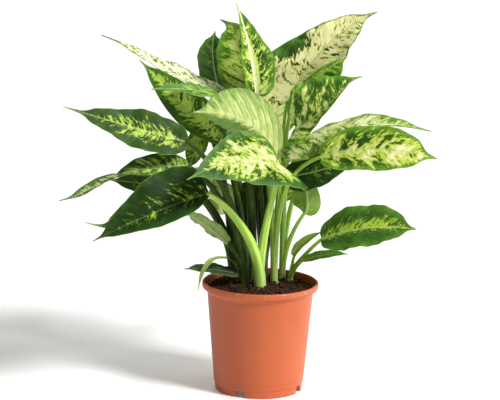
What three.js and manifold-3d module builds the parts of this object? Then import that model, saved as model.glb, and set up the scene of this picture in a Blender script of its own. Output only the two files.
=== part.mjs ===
// Potted dieffenbachia: a clump of eight leafy shoots with patterned blades in a 12 cm nursery pot.
// Millimetres, +Z up, the viewer at -Y. Everything is built about the pot's axis, with the foot at Z = 0.
// Each shoot is a short cane in a plain hole in the soil, with its leaf stalks grown out of it.
// Each blade is a thin waved sheet that meets its stalk face to face.

import * as THREE from 'three';
import { mergeVertices } from 'three/addons/utils/BufferGeometryUtils.js';
import Module from 'manifold-3d';

const wasm = await Module();
wasm.setup();

// Pot: a thin-walled cone with a rolled lip, a raised floor and a notched foot ring
const POT_HEIGHT = 113.5;
const RIM_RADIUS = 60;
const RIM_INNER_RADIUS = 57.4;
const BODY_TOP_RADIUS = 54.6;
const BODY_FOOT_RADIUS = 46.3;
const FOOT_RADIUS = 45;
const WALL = 1.4;
const FOOT_WALL = 2.2;
const LIP_HEIGHT = 5.5;
const LIP_UNDERSIDE = 9;
const FLOOR_UNDERSIDE = 8;
const FLOOR_TOP = 9.6;
const POT_SIDES = 40;
const NOTCH_COUNT = 4;
const NOTCH_START_DEG = -24;
const NOTCH_WIDTH = 11;
const NOTCH_TOP_WIDTH = 8;
const NOTCH_HEIGHT = 7;
const DRAIN_RADIUS = 4;
const DRAIN_RING_RADIUS = 34;

// Soil: fills the pot to a little under the rim, with a rough and slightly heaped top
const CLEARANCE = 0.3;
const SOIL_TOP = 107.5;
const SOIL_HEAP = 1.6;
const SOIL_RELIEF = 0.9;
const SOIL_RINGS = 7;

// Canes and stalks
const CANE_DEPTH = 26;
const CANE_SIDES = 10;
const CANE_TOP = 9;
const HOLE_GAP = 0.4;
const STALK_SIDES = 6;
const STALK_STEPS = 8;
const SLIM_STALK = [3.3, 1.9];
const STOUT_STALK = [4.9, 2.4];

// Blades
const BLADE_THICKNESS = 0.8;
const KEEL_THICKNESS = 2.2;
const NECK_HALF_WIDTH = 1.2;
const TIP_HALF_WIDTH = 0.4;
const WAVE = 0.07;
const TAIL_FROM = 0.83;
const TAIL_RUN = 0.12;
const TAIL_CUT = 0.65;
const BLADE_COLUMNS = [-1, -0.5, 0, 0.5, 1];
const BLADE_ROWS = 10;
const SMALL_BLADE_ROWS = 7;

// Colours
const TERRACOTTA = '#cf6b42';
const PEAT = '#3a2419';
const STALK_GREEN = '#8fbf52';
const BLADE_GREEN = '#5c8f3a';
const BLADE_PALE = '#c9d68a';

// The foot of each shoot in the soil, its cane's radius, and its stalks' radii low down and at the blade
const SHOOTS = {
  a: { foot: [-1, -7], cane: 5.5, stalk: STOUT_STALK },
  b: { foot: [14, 15], cane: 5, stalk: SLIM_STALK },
  c: { foot: [22.5, 28], cane: 4.5, stalk: SLIM_STALK },
  d: { foot: [31, 24], cane: 3.6, stalk: SLIM_STALK },
  e: { foot: [-17, 1], cane: 5.5, stalk: STOUT_STALK },
  f: { foot: [-28.5, 12], cane: 5.5, stalk: STOUT_STALK },
  g: { foot: [2.5, 37], cane: 5.5, stalk: STOUT_STALK },
  h: { foot: [-8.5, 26], cane: 5.5, stalk: STOUT_STALK },
};

// Every blade: the base, middle and tip of its midrib, the way its upper side faces, and its full width.
// fold raises both halves off the midrib in degrees, from fold at the base to foldTip at the tip.
// twist turns the blade about its midrib in degrees from base to tip, hook bends the last bit of the tip.
// wide is where the blade is widest, point how long its tip is drawn out, lobe how far its base sweeps back.
// front and back make the near half and the far half narrower or broader than the other one.
// flareFront and flareBack add to that share near the base only.
// wave is how high the halves ripple, tailFrom where the drip tip starts, tone how pale the colour is.
// rise and neck are how far the stalk runs on upwards out of its cane and back out of the blade.
const LEAVES = [
  { name: 'leaf_a1', shoot: 'a', base: [15, -26, 244], mid: [-25, -66, 253], tip: [-74, -102, 239],
    face: [0.45, -0.62, 0.63], width: 70, back: 0.86, fold: 4, lobe: 0.1, lobeFront: 2.6, wide: 0.32,
    point: 0.95, stalk: [5, 2.3], tone: 1 },
  { name: 'leaf_a2', shoot: 'a', base: [-54, -50, 215], mid: [-110, -76, 198], tip: [-167, -88, 172],
    face: [-0.2, -0.85, 0.5], width: 60, front: 0.76, flareFront: -0.5, back: 1.25, fold: 12, wide: 0.25,
    point: 0.9, stalk: [6.2, 2.6], rise: 0.47, neck: 0.06 },
  { name: 'leaf_b1', shoot: 'b', base: [-8, 18, 302], mid: [-16, 10, 352], tip: [-30, 8, 400],
    face: [0.6, -0.8, 0.05], width: 46, fold: 30, wide: 0.33, point: 1.2, tone: 0.7 },
  { name: 'leaf_b2', shoot: 'b', base: [17, 0, 240], mid: [-16, -18, 282], tip: [-71, -38, 295],
    face: [0.1, -0.8, 0.3], width: 64, front: 0.5, fold: -15, twist: 20, lobe: -0.9, wide: 0.52,
    point: 0.5, tone: 0.9 },
  { name: 'leaf_b3', shoot: 'b', base: [12, 10, 247], mid: [84, -4, 279], tip: [170, -14, 276],
    face: [0, -0.35, 1], width: 42, back: 1.2, fold: -50, foldTip: 38, wide: 0.27, tone: 0.6 },
  { name: 'leaf_b4', shoot: 'b', base: [58, -26, 250], mid: [109, -48, 263], tip: [173, -66, 258],
    face: [0.05, -0.85, 0.55], width: 48, fold: 8, wide: 0.5, point: 0.1, rise: 0.6, neck: 0.3,
    tone: 0.7 },
  { name: 'leaf_b5', shoot: 'b', base: [22, 19, 218], mid: [55, 9, 228], tip: [95, 2, 241],
    face: [0, -0.8, 0.6], width: 40, fold: 8, lobe: 0, tone: 0 },
  { name: 'leaf_c1', shoot: 'c', base: [24.5, 48, 293], mid: [57, 38, 347], tip: [109, 28, 392],
    hook: [5, 0, -1], face: [0.1, -0.85, 0.5], width: 64, front: 0.68, flareFront: 2, back: 0.88,
    fold: 14, lobeFront: 1.4, wide: 0.26, point: 0.1, wave: 0.1, tone: 0.9 },
  { name: 'leaf_c2', shoot: 'c', base: [30, 28, 294], mid: [55, 19, 324], tip: [84, 16, 346],
    face: [-0.2, -0.9, 0.2], width: 36, front: 0.35, back: 1.3, fold: 10, tone: 0.3 },
  { name: 'leaf_c3', shoot: 'c', base: [34, 20, 271], mid: [66, 6, 298], tip: [91, 4, 330],
    hook: [8, 0, -2], face: [-0.4, -0.75, 0.45], width: 70, back: 0.05, flareBack: 1.9, fold: 38,
    lobe: 0.45, lobeFront: 0.3, tone: 0.5 },
  { name: 'leaf_c4', shoot: 'c', base: [44, 22, 181], mid: [46, 24, 199], tip: [37, 32, 235],
    face: [0, 1, 0.1], width: 27, fold: 8, lobe: 0, wide: 0.34, tone: 0 },
  { name: 'leaf_c5', shoot: 'c', base: [45, 60, 225], mid: [75, 95, 240], tip: [100, 125, 235],
    face: [-0.1, 0.5, 0.85], width: 44, fold: 12, tone: 0.4 },
  { name: 'leaf_d1', shoot: 'd', base: [62, 0, 159], mid: [107, -16, 175], tip: [157, -30, 178],
    face: [0.1, -0.7, 0.7], width: 51, fold: 11, wide: 0.42, point: 0.1, stalk: [2.8, 1.8], rise: 0.2,
    tone: 0.2 },
  { name: 'leaf_d2', shoot: 'd', base: [42, 8, 134], mid: [66, -2, 143], tip: [89, -10, 146],
    face: [0, -0.5, 0.85], width: 12, fold: 8, small: true, stalk: [2.4, 1.4], rise: 0.2, tone: 0 },
  { name: 'leaf_d3', shoot: 'd', base: [34, 16, 137], mid: [45, 13, 152], tip: [63, 9, 165],
    face: [-0.5, -0.7, 0.3], width: 11, fold: 40, small: true, stalk: [2.4, 1.4], rise: 0.2, tone: 0.2 },
  { name: 'leaf_e1', shoot: 'e', base: [-44, 8, 255], mid: [-82, 2, 296], tip: [-127, -4, 342],
    face: [-0.1, -1, 0.15], width: 42, front: 0.9, flareFront: -0.6, fold: 8, point: 0.7, tone: 0.4 },
  { name: 'leaf_e2', shoot: 'e', base: [-76, -30, 263], mid: [-135, -50, 282], tip: [-199, -60, 302],
    face: [0, -0.85, 0.5], width: 43, back: 0.93, fold: 8, point: 1.1, tailFrom: 0.76, wave: 0.1,
    tone: 0.5 },
  { name: 'leaf_e3', shoot: 'e', base: [-75, -22, 236], mid: [-138, -46, 233], tip: [-203, -62, 201],
    hook: [0, 0, 6], face: [0, -0.6, 0.75], width: 30, fold: 8, twist: -200, point: 0.9, tone: 0.5 },
  { name: 'leaf_e4', shoot: 'e', base: [-34, -6, 155], mid: [-58, -14, 177], tip: [-84, -22, 193],
    face: [0.1, 0.5, 0.85], width: 24, front: 0.9, back: 1.4, fold: 8, tone: 0.3 },
  { name: 'leaf_e5', shoot: 'e', base: [-35, -8, 140], mid: [-54, -27, 137], tip: [-63, -36, 111],
    face: [-0.6, -0.5, 0.6], width: 7, fold: 6, small: true, stalk: [1.8, 1.1], tone: 0 },
  { name: 'leaf_e6', shoot: 'e', base: [-24, -3, 121], mid: [-50, -11, 127], tip: [-78, -22, 130],
    face: [0, -0.25, 1], width: 24, fold: 6, stalk: [2.6, 1.6], tone: 0 },
  { name: 'leaf_f1', shoot: 'f', base: [-63, 32, 267], mid: [-69, 20, 247], tip: [-76, 14, 227],
    face: [-0.3, -0.95, 0.1], width: 22, fold: 8, neck: 0.2, tone: 0.3 },
  { name: 'leaf_f2', shoot: 'f', base: [-79, 4, 211], mid: [-115, 0, 213], tip: [-157, -6, 218],
    face: [0, -0.85, 0.5], width: 26, fold: 8, tone: 0 },
  { name: 'leaf_f3', shoot: 'f', base: [-73, -12, 212], mid: [-118, -30, 197], tip: [-166, -42, 169],
    hook: [-12, 0, 12], face: [-0.1, -0.8, 0.6], width: 30, fold: 8, tone: 0.2 },
  { name: 'leaf_f4', shoot: 'f', base: [-33, 35, 180], mid: [-41, 35, 195], tip: [-51, 33, 215],
    face: [0, -1, 0.2], width: 32, fold: 8, tone: 0.8 },
  { name: 'leaf_f5', shoot: 'f', base: [-38, 54, 190], mid: [-62, 88, 206], tip: [-86, 118, 200],
    face: [0.1, 0.5, 0.85], width: 40, fold: 12, tone: 0.4 },
  { name: 'leaf_g1', shoot: 'g', base: [-17, 40, 294], mid: [-24, 36, 341], tip: [-40, 36, 381],
    hook: [-7, 0, -2], face: [-0.35, -0.95, 0.1], width: 52, fold: 14, wide: 0.42, point: 0.5,
    tone: 0.5 },
  { name: 'leaf_g2', shoot: 'g', base: [-41, 64, 286], mid: [-53, 60, 329], tip: [-52, 72, 362],
    face: [-0.5, -0.9, 0.1], width: 33, fold: 14, wide: 0.5, point: 0.4, tone: 0.2 },
  { name: 'leaf_g3', shoot: 'g', base: [7, 58, 180], mid: [-12, 54, 190], tip: [-36, 51, 191],
    face: [0, -1, 0.2], width: 38, fold: 8, lobe: 0.1, tone: 0 },
  { name: 'leaf_g4', shoot: 'g', base: [8, 66, 250], mid: [14, 106, 282], tip: [14, 152, 286],
    face: [0, -0.5, 1], width: 52, fold: 12, tone: 0.6 },
  { name: 'leaf_g5', shoot: 'g', base: [20, 62, 185], mid: [32, 96, 208], tip: [42, 132, 206],
    face: [0, -0.4, 1], width: 40, fold: 12, tone: 0.3 },
  { name: 'leaf_h1', shoot: 'h', base: [-37, 28, 304], mid: [-101, 24, 330], tip: [-158, 18, 363],
    hook: [-9, 0, 0], face: [0, -0.22, 1], width: 34, fold: 4, point: 0.8, tone: 0.9 },
  { name: 'leaf_h2', shoot: 'h', base: [-39, 12, 302], mid: [-75, -16, 314], tip: [-113, -34, 317],
    face: [0, -0.4, 1], width: 30, fold: 4, twist: -20, tone: 0.4 },
  { name: 'leaf_h3', shoot: 'h', base: [-36, 66, 238], mid: [-50, 104, 264], tip: [-66, 138, 266],
    face: [0, -0.4, 1], width: 44, fold: 12, wide: 0.5, tone: 0.5 },
];

function radians(degrees) {
  return (degrees * Math.PI) / 180;
}

function vector(list) {
  return new THREE.Vector3(list[0], list[1], list[2]);
}

// A closed solid from a three.js geometry
function solidOf(geometry) {
  const bare = geometry.clone();
  bare.deleteAttribute('normal');
  bare.deleteAttribute('uv');
  const merged = mergeVertices(bare, 1e-4);
  const mesh = new wasm.Mesh({
    numProp: 3,
    vertProperties: Float32Array.from(merged.attributes.position.array),
    triVerts: Uint32Array.from(merged.index.array),
  });
  return new wasm.Manifold(mesh);
}

function geometryOf(solid) {
  const mesh = solid.getMesh();
  return indexedGeometry(mesh.vertProperties, mesh.triVerts);
}

function indexedGeometry(positions, indices) {
  const geometry = new THREE.BufferGeometry();
  geometry.setAttribute('position', new THREE.BufferAttribute(Float32Array.from(positions), 3));
  geometry.setIndex(Array.from(indices));
  geometry.computeVertexNormals();
  return geometry;
}

function cylinder(radius, low, high, sides, x, y) {
  const geometry = new THREE.CylinderGeometry(radius, radius, high - low, sides);
  geometry.rotateX(Math.PI / 2);
  geometry.translate(x, y, (low + high) / 2);
  return solidOf(geometry);
}

// Lathe profile as [radius, height] pairs, turned about Z
function turned(profile, sides) {
  const points = profile.map(([r, z]) => new THREE.Vector2(r, z));
  const geometry = new THREE.LatheGeometry(points, sides);
  geometry.rotateX(Math.PI / 2);
  return solidOf(geometry);
}

function potSolid() {
  const outerAt = (z) => {
    const share = (z - FLOOR_UNDERSIDE) / (POT_HEIGHT - LIP_UNDERSIDE - 2 - FLOOR_UNDERSIDE);
    return BODY_FOOT_RADIUS + (BODY_TOP_RADIUS - BODY_FOOT_RADIUS) * share;
  };
  const neck = POT_HEIGHT - LIP_UNDERSIDE - 2;
  const profile = [
    [0, FLOOR_UNDERSIDE],
    [FOOT_RADIUS - FOOT_WALL, FLOOR_UNDERSIDE],
    [FOOT_RADIUS - FOOT_WALL, 0],
    [FOOT_RADIUS, 0],
    [FOOT_RADIUS + 0.5, FLOOR_UNDERSIDE - 0.6],
    [BODY_FOOT_RADIUS, FLOOR_UNDERSIDE + 0.3],
    [BODY_TOP_RADIUS, neck],
    [BODY_TOP_RADIUS + 1.4, neck + 2],
    [RIM_RADIUS - 1, POT_HEIGHT - LIP_HEIGHT - 1],
    [RIM_RADIUS, POT_HEIGHT - LIP_HEIGHT],
    [RIM_RADIUS, POT_HEIGHT - 1],
    [RIM_RADIUS - 1, POT_HEIGHT],
    [RIM_INNER_RADIUS + 0.5, POT_HEIGHT],
    [RIM_INNER_RADIUS, POT_HEIGHT - 1],
    [RIM_INNER_RADIUS - 0.4, POT_HEIGHT - LIP_HEIGHT - 2],
    [BODY_TOP_RADIUS - WALL, neck - 1],
    [outerAt(FLOOR_TOP) - WALL, FLOOR_TOP],
    [0, FLOOR_TOP],
  ];
  let pot = turned(profile, POT_SIDES);
  const outline = new THREE.Shape([
    new THREE.Vector2(-NOTCH_WIDTH / 2, -1),
    new THREE.Vector2(NOTCH_WIDTH / 2, -1),
    new THREE.Vector2(NOTCH_TOP_WIDTH / 2, NOTCH_HEIGHT),
    new THREE.Vector2(-NOTCH_TOP_WIDTH / 2, NOTCH_HEIGHT),
  ]);
  for (let i = 0; i < NOTCH_COUNT; i += 1) {
    const turn = radians(NOTCH_START_DEG + (360 / NOTCH_COUNT) * i);
    const wedge = new THREE.ExtrudeGeometry(outline, { depth: 12, bevelEnabled: false });
    wedge.rotateX(Math.PI / 2);
    wedge.translate(0, -FOOT_RADIUS + 7, 0);
    wedge.rotateZ(turn);
    pot = pot.subtract(solidOf(wedge));
    const drainX = DRAIN_RING_RADIUS * Math.sin(turn);
    const drainY = -DRAIN_RING_RADIUS * Math.cos(turn);
    pot = pot.subtract(cylinder(DRAIN_RADIUS, 0, FLOOR_TOP + 2, 16, drainX, drainY));
  }
  return pot;
}

// Height of the soil's top: a low heap with lumps from four crossed waves
function soilHeight(x, y, radius) {
  const r = Math.hypot(x, y) / radius;
  const lumps = Math.sin(x * 0.31 + 1.3) * Math.cos(y * 0.27) + 0.6 * Math.sin(x * 0.55 - y * 0.47 + 0.4);
  return SOIL_TOP + SOIL_HEAP * (1 - r * r) + SOIL_RELIEF * lumps * (1 - r * r * r);
}

function soilSolid() {
  const topRadius = RIM_INNER_RADIUS - 3.4 - CLEARANCE;
  const footRadius = BODY_FOOT_RADIUS - WALL - CLEARANCE - 0.4;
  const positions = [];
  const indices = [];
  positions.push(0, 0, soilHeight(0, 0, topRadius));
  for (let ring = 1; ring <= SOIL_RINGS; ring += 1) {
    for (let i = 0; i < POT_SIDES; i += 1) {
      const angle = (2 * Math.PI * i) / POT_SIDES;
      const r = (topRadius * ring) / SOIL_RINGS;
      const x = r * Math.cos(angle);
      const y = r * Math.sin(angle);
      positions.push(x, y, soilHeight(x, y, topRadius));
    }
  }
  const wallRadius = BODY_TOP_RADIUS - WALL - CLEARANCE - 0.6;
  for (const [r, z] of [[wallRadius, 100], [footRadius, FLOOR_TOP + CLEARANCE]]) {
    for (let i = 0; i < POT_SIDES; i += 1) {
      const angle = (2 * Math.PI * i) / POT_SIDES;
      positions.push(r * Math.cos(angle), r * Math.sin(angle), z);
    }
  }
  positions.push(0, 0, FLOOR_TOP + CLEARANCE);
  const last = positions.length / 3 - 1;
  const rows = SOIL_RINGS + 2;
  for (let i = 0; i < POT_SIDES; i += 1) {
    const next = (i + 1) % POT_SIDES;
    indices.push(0, 1 + i, 1 + next);
    for (let row = 0; row < rows - 1; row += 1) {
      const a = 1 + row * POT_SIDES;
      const b = a + POT_SIDES;
      indices.push(a + i, b + i, b + next);
      indices.push(a + i, b + next, a + next);
    }
    const foot = 1 + (rows - 1) * POT_SIDES;
    indices.push(last, foot + next, foot + i);
  }
  let soil = solidOf(indexedGeometry(positions, indices));
  for (const shoot of Object.values(SHOOTS)) {
    const [x, y] = shoot.foot;
    const low = SOIL_TOP - CANE_DEPTH - CLEARANCE;
    soil = soil.subtract(cylinder(shoot.cane + HOLE_GAP, low, SOIL_TOP + 20, CANE_SIDES, x, y));
  }
  return soil;
}

// Midrib: a parabola through base, mid and tip, with the last sixth bent over by the hook
function midribAt(leaf, u) {
  const base = vector(leaf.base);
  const tip = vector(leaf.tip);
  const control = vector(leaf.mid).multiplyScalar(2).addScaledVector(base, -0.5).addScaledVector(tip, -0.5);
  const point = base.clone().multiplyScalar((1 - u) * (1 - u));
  point.addScaledVector(control, 2 * u * (1 - u)).addScaledVector(tip, u * u);
  const along = control.clone().sub(base).multiplyScalar(2 * (1 - u));
  along.addScaledVector(tip.clone().sub(control), 2 * u);
  if (leaf.hook) {
    const bend = Math.max(0, (u - 0.84) / 0.16);
    point.addScaledVector(vector(leaf.hook), bend * bend);
    along.addScaledVector(vector(leaf.hook), (2 * bend) / 0.16);
  }
  return { point, along: along.normalize() };
}

// Outline: a quarter oval from the neck to the widest place, then a long taper that thins into a drip tip
function outlineAt(leaf, u) {
  const wide = leaf.wide ?? 0.36;
  const point = leaf.point ?? 0.5;
  if (u < wide) {
    return (1 - (1 - u / wide) ** 2) ** 0.55;
  }
  const far = Math.min(1, (u - wide) / (1 - wide));
  const drip = Math.min(1, Math.max(0, (u - (leaf.tailFrom ?? TAIL_FROM)) / TAIL_RUN));
  const slim = 1 - TAIL_CUT * drip * drip * (3 - 2 * drip);
  return Math.max(0, 1 - far ** (2.5 - point)) ** (0.9 + 0.4 * point) * slim;
}

// A point of the blade's middle surface, u from base to tip and v from -1 to 1 across
function bladePoint(leaf, u, v) {
  const { point, along } = midribAt(leaf, u);
  const side = along.clone().cross(vector(leaf.face)).normalize();
  const up = side.clone().cross(along);
  const turn = radians((leaf.twist ?? 0) * (Math.min(0.85, Math.max(0.15, u)) - 0.3));
  const across = side.clone().multiplyScalar(Math.cos(turn)).addScaledVector(up, Math.sin(turn));
  const raised = up.clone().multiplyScalar(Math.cos(turn)).addScaledVector(side, -Math.sin(turn));
  const share = (v < 0 ? leaf.front : leaf.back) ?? 1;
  const flare = ((v < 0 ? leaf.flareFront : leaf.flareBack) ?? 0) * (1 - u) ** 3;
  const half = (leaf.width / 2) * outlineAt(leaf, u) * (share + flare);
  const reach = half + NECK_HALF_WIDTH * (1 - u) + TIP_HALF_WIDTH * u;
  const spread = Math.abs(v);
  const fold = radians(leaf.fold + ((leaf.foldTip ?? leaf.fold) - leaf.fold) * u);
  const ripple = Math.sin(6 * Math.PI * u + (v > 0 ? 0 : 1.9)) * spread * spread;
  const lift = reach * spread * Math.sin(fold) + (leaf.wave ?? WAVE) * half * ripple;
  const lobe = v < 0 ? leaf.lobeFront ?? leaf.lobe ?? 0.3 : leaf.lobe ?? 0.3;
  const sweep = -lobe * half * spread ** 1.3 * (1 - u) ** 3;
  const forward = 0.3 * half * spread ** 1.2 * u * (1 - u);
  point.addScaledVector(across, reach * v * Math.cos(fold));
  point.addScaledVector(raised, lift);
  point.addScaledVector(along, sweep + forward);
  return point;
}

function bladeGeometry(leaf) {
  const rows = leaf.small ? SMALL_BLADE_ROWS : BLADE_ROWS;
  const columns = BLADE_COLUMNS.length;
  const grid = [];
  for (let row = 0; row <= rows; row += 1) {
    const u = (row / rows) ** 1.3;
    grid.push(BLADE_COLUMNS.map((v) => bladePoint(leaf, u, v)));
  }
  const positions = [];
  for (const face of [1, -1]) {
    for (let row = 0; row <= rows; row += 1) {
      for (let column = 0; column < columns; column += 1) {
        const along = grid[Math.min(rows, row + 1)][column].clone().sub(grid[Math.max(0, row - 1)][column]);
        const left = grid[row][Math.max(0, column - 1)];
        const across = grid[row][Math.min(columns - 1, column + 1)].clone().sub(left);
        const normal = across.cross(along).normalize();
        const keel = column === 2 ? (KEEL_THICKNESS - BLADE_THICKNESS) * (1 - row / rows) : 0;
        const offset = face > 0 ? BLADE_THICKNESS / 2 : -BLADE_THICKNESS / 2 - keel;
        const point = grid[row][column].clone().addScaledVector(normal, offset);
        positions.push(point.x, point.y, point.z);
      }
    }
  }
  const under = (rows + 1) * columns;
  const indices = [];
  const quad = (a, b, c, d) => indices.push(a, b, c, a, c, d);
  for (let row = 0; row < rows; row += 1) {
    for (let column = 0; column < columns - 1; column += 1) {
      const a = row * columns + column;
      const c = a + columns + 1;
      indices.push(a, a + 1, c, a, c, c - 1);
      indices.push(under + a, under + c, under + a + 1, under + a, under + c - 1, under + c);
    }
    const start = row * columns;
    const end = start + columns - 1;
    quad(start + columns, under + start + columns, under + start, start);
    quad(end, under + end, under + end + columns, end + columns);
  }
  for (let column = 0; column < columns - 1; column += 1) {
    const tip = rows * columns + column;
    quad(column, under + column, under + column + 1, column + 1);
    quad(tip + 1, under + tip + 1, under + tip, tip);
  }
  return indexedGeometry(positions, indices);
}

// Stalk: rises out of its cane, leans over and runs into the blade's base along the midrib
function stalkSolid(leaf, shoot) {
  const { point: base, along } = midribAt(leaf, 0);
  const end = base.addScaledVector(along, -CLEARANCE - 0.1);
  const outward = new THREE.Vector3(end.x - shoot.foot[0], end.y - shoot.foot[1], 0).normalize();
  const start = new THREE.Vector3(shoot.foot[0], shoot.foot[1], SOIL_TOP + 3);
  const [thick, thin] = leaf.stalk ?? shoot.stalk;
  start.addScaledVector(outward, Math.max(0, shoot.cane - thick - 1));
  const length = end.distanceTo(start);
  const rise = start.clone().addScaledVector(new THREE.Vector3(0, 0, 1), length * (leaf.rise ?? 0.5));
  const neck = end.clone().addScaledVector(along, -length * (leaf.neck ?? 0.12));
  const curve = new THREE.CubicBezierCurve3(start, rise, neck, end);
  const positions = [];
  const indices = [];
  let side = new THREE.Vector3(1, 0, 0);
  for (let step = 0; step <= STALK_STEPS; step += 1) {
    const t = step / STALK_STEPS;
    const centre = curve.getPoint(t);
    const tangent = curve.getTangent(t);
    side = side.addScaledVector(tangent, -side.dot(tangent)).normalize();
    const other = tangent.clone().cross(side);
    const radius = thin + (thick - thin) * (1 - t) ** 1.4;
    for (let i = 0; i < STALK_SIDES; i += 1) {
      const angle = (2 * Math.PI * i) / STALK_SIDES;
      const ring = centre.clone().addScaledVector(side, radius * Math.cos(angle));
      ring.addScaledVector(other, radius * Math.sin(angle));
      positions.push(ring.x, ring.y, ring.z);
    }
  }
  for (let step = 0; step < STALK_STEPS; step += 1) {
    for (let i = 0; i < STALK_SIDES; i += 1) {
      const a = step * STALK_SIDES + i;
      const b = step * STALK_SIDES + ((i + 1) % STALK_SIDES);
      indices.push(a, b, b + STALK_SIDES, a, b + STALK_SIDES, a + STALK_SIDES);
    }
  }
  const top = STALK_STEPS * STALK_SIDES;
  for (let i = 1; i < STALK_SIDES - 1; i += 1) {
    indices.push(0, i + 1, i);
    indices.push(top, top + i, top + i + 1);
  }
  return solidOf(indexedGeometry(positions, indices));
}

// One shoot: its cane in the soil, with all its stalks joined on
function shootSolid(key) {
  const shoot = SHOOTS[key];
  const [x, y] = shoot.foot;
  let solid = cylinder(shoot.cane, SOIL_TOP - CANE_DEPTH, SOIL_TOP + CANE_TOP, CANE_SIDES, x, y);
  for (const leaf of LEAVES) {
    if (leaf.shoot === key) {
      solid = solid.add(stalkSolid(leaf, shoot));
    }
  }
  return solid;
}

function material(colour, roughness) {
  return new THREE.MeshStandardMaterial({ color: colour, roughness, metalness: 0 });
}

function named(name, geometry, finish) {
  const mesh = new THREE.Mesh(geometry, finish);
  mesh.name = name;
  return mesh;
}

const plant = new THREE.Group();
plant.add(named('pot', geometryOf(potSolid()), material(TERRACOTTA, 0.45)));
plant.add(named('soil', geometryOf(soilSolid()), material(PEAT, 0.95)));
for (const key of Object.keys(SHOOTS)) {
  plant.add(named(`shoot_${key}`, geometryOf(shootSolid(key)), material(STALK_GREEN, 0.4)));
}
for (const leaf of LEAVES) {
  const colour = new THREE.Color(BLADE_GREEN).lerp(new THREE.Color(BLADE_PALE), leaf.tone ?? 0.2);
  plant.add(named(leaf.name, bladeGeometry(leaf), material(colour, 0.38)));
}

// The part's origin is the middle of its outline's box, on the surface that the pot stands on
const extent = new THREE.Box3().setFromObject(plant, true);
const middle = extent.getCenter(new THREE.Vector3());
plant.position.set(-middle.x, -middle.y, 0);

export default plant;
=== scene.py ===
# Potted dieffenbachia, built about the pot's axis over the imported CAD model.
# Sizes are in millimetres until a mesh is written, and the viewer stands at -Y.
import math

import bmesh
import bpy
import numpy as np
from mathutils import Matrix, Vector


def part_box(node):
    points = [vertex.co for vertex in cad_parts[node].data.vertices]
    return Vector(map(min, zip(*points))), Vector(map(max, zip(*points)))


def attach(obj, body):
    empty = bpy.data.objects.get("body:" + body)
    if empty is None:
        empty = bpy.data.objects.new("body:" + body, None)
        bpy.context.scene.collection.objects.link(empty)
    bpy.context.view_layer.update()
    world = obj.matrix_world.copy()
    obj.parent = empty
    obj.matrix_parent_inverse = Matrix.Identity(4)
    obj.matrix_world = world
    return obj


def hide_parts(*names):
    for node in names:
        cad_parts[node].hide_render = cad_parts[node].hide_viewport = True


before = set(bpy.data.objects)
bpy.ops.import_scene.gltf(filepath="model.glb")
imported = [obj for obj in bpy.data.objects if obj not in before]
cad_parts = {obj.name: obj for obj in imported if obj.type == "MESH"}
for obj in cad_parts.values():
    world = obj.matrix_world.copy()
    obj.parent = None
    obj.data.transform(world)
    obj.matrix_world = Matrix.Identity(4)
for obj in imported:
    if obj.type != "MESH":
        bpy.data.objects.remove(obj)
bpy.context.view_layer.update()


# Pot: a 12 cm nursery pot, injection-moulded in terracotta-coloured polypropylene with a satin skin.
# The wall is thin and tapered, the rim is a rolled lip, and a raised floor stands on a notched foot ring.
MM = 0.001
pot_low, pot_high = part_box("pot")
AXIS = np.array([(pot_low.x + pot_high.x) / 2, (pot_low.y + pot_high.y) / 2, 0.0])
POT_HEIGHT = pot_high.z / MM
RIM_RADIUS = (pot_high.x - pot_low.x) / 2 / MM
RIM_INNER_RADIUS = RIM_RADIUS - 2.6
BODY_TOP_RADIUS = RIM_RADIUS - 5.4
BODY_FOOT_RADIUS = RIM_RADIUS - 13.7
FOOT_RADIUS = RIM_RADIUS - 15
FOOT_WALL = 2.2
WALL = 1.4
LIP_HEIGHT = 5.5
FLOOR_UNDERSIDE = 8
FLOOR_TOP = 9.6
NECK = POT_HEIGHT - 11
NOTCH_COUNT = 4
NOTCH_START_DEG = -114
NOTCH_WIDTH = 11
NOTCH_TOP_WIDTH = 8
NOTCH_HEIGHT = 7
DRAIN_RADIUS = 4
DRAIN_RING_RADIUS = 34
DRAIN_SIDES = 32
FOOT_LINE = 13.5
POT_COLUMNS = 288
CORNER_RADIUS = 0.7
CORNER_STEPS = 5
LONGEST_CUT = 0.45
TERRACOTTA = "#bc5a31"
TERRACOTTA_PALE = "#ca7042"
TERRACOTTA_DARK = "#a24822"


def tint(hex_colour):
    """A '#rrggbb' colour as linear RGBA."""
    values = [int(hex_colour[i:i + 2], 16) / 255 for i in (1, 3, 5)]
    return [v / 12.92 if v <= 0.04045 else ((v + 0.055) / 1.055) ** 2.4 for v in values] + [1.0]


def grid_faces(rows, columns, around=False, start=0):
    """Four-sided faces between neighbouring points of a grid, whose columns may close into a ring."""
    row = np.arange(rows - 1)[:, None]
    column = np.arange(columns if around else columns - 1)[None, :]
    a = row * columns + column
    b = row * columns + (column + 1) % columns
    return np.stack([a, b, b + columns, a + columns], axis=-1).reshape(-1, 4) + start


def add_object(name, data):
    """A new object in the scene."""
    made = bpy.data.objects.new(name, data)
    bpy.context.scene.collection.objects.link(made)
    return made


def add_piece(name, points, faces, finish, node, sharp_deg):
    """Writes points in millimetres about the pot's axis into a new piece that stands for a CAD node."""
    mesh = bpy.data.meshes.new(name)
    places = np.asarray(points).reshape(-1, 3) * MM + AXIS
    mesh.from_pydata(places.tolist(), [], faces.tolist() if hasattr(faces, "tolist") else faces)
    mesh.polygons.foreach_set("use_smooth", np.ones(len(mesh.polygons), dtype=bool))
    mesh.set_sharp_from_angle(angle=math.radians(sharp_deg))
    mesh.materials.append(finish)
    mesh.update()
    piece = add_object(name, mesh)
    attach(piece, "root")
    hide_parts(node)
    return piece


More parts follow.
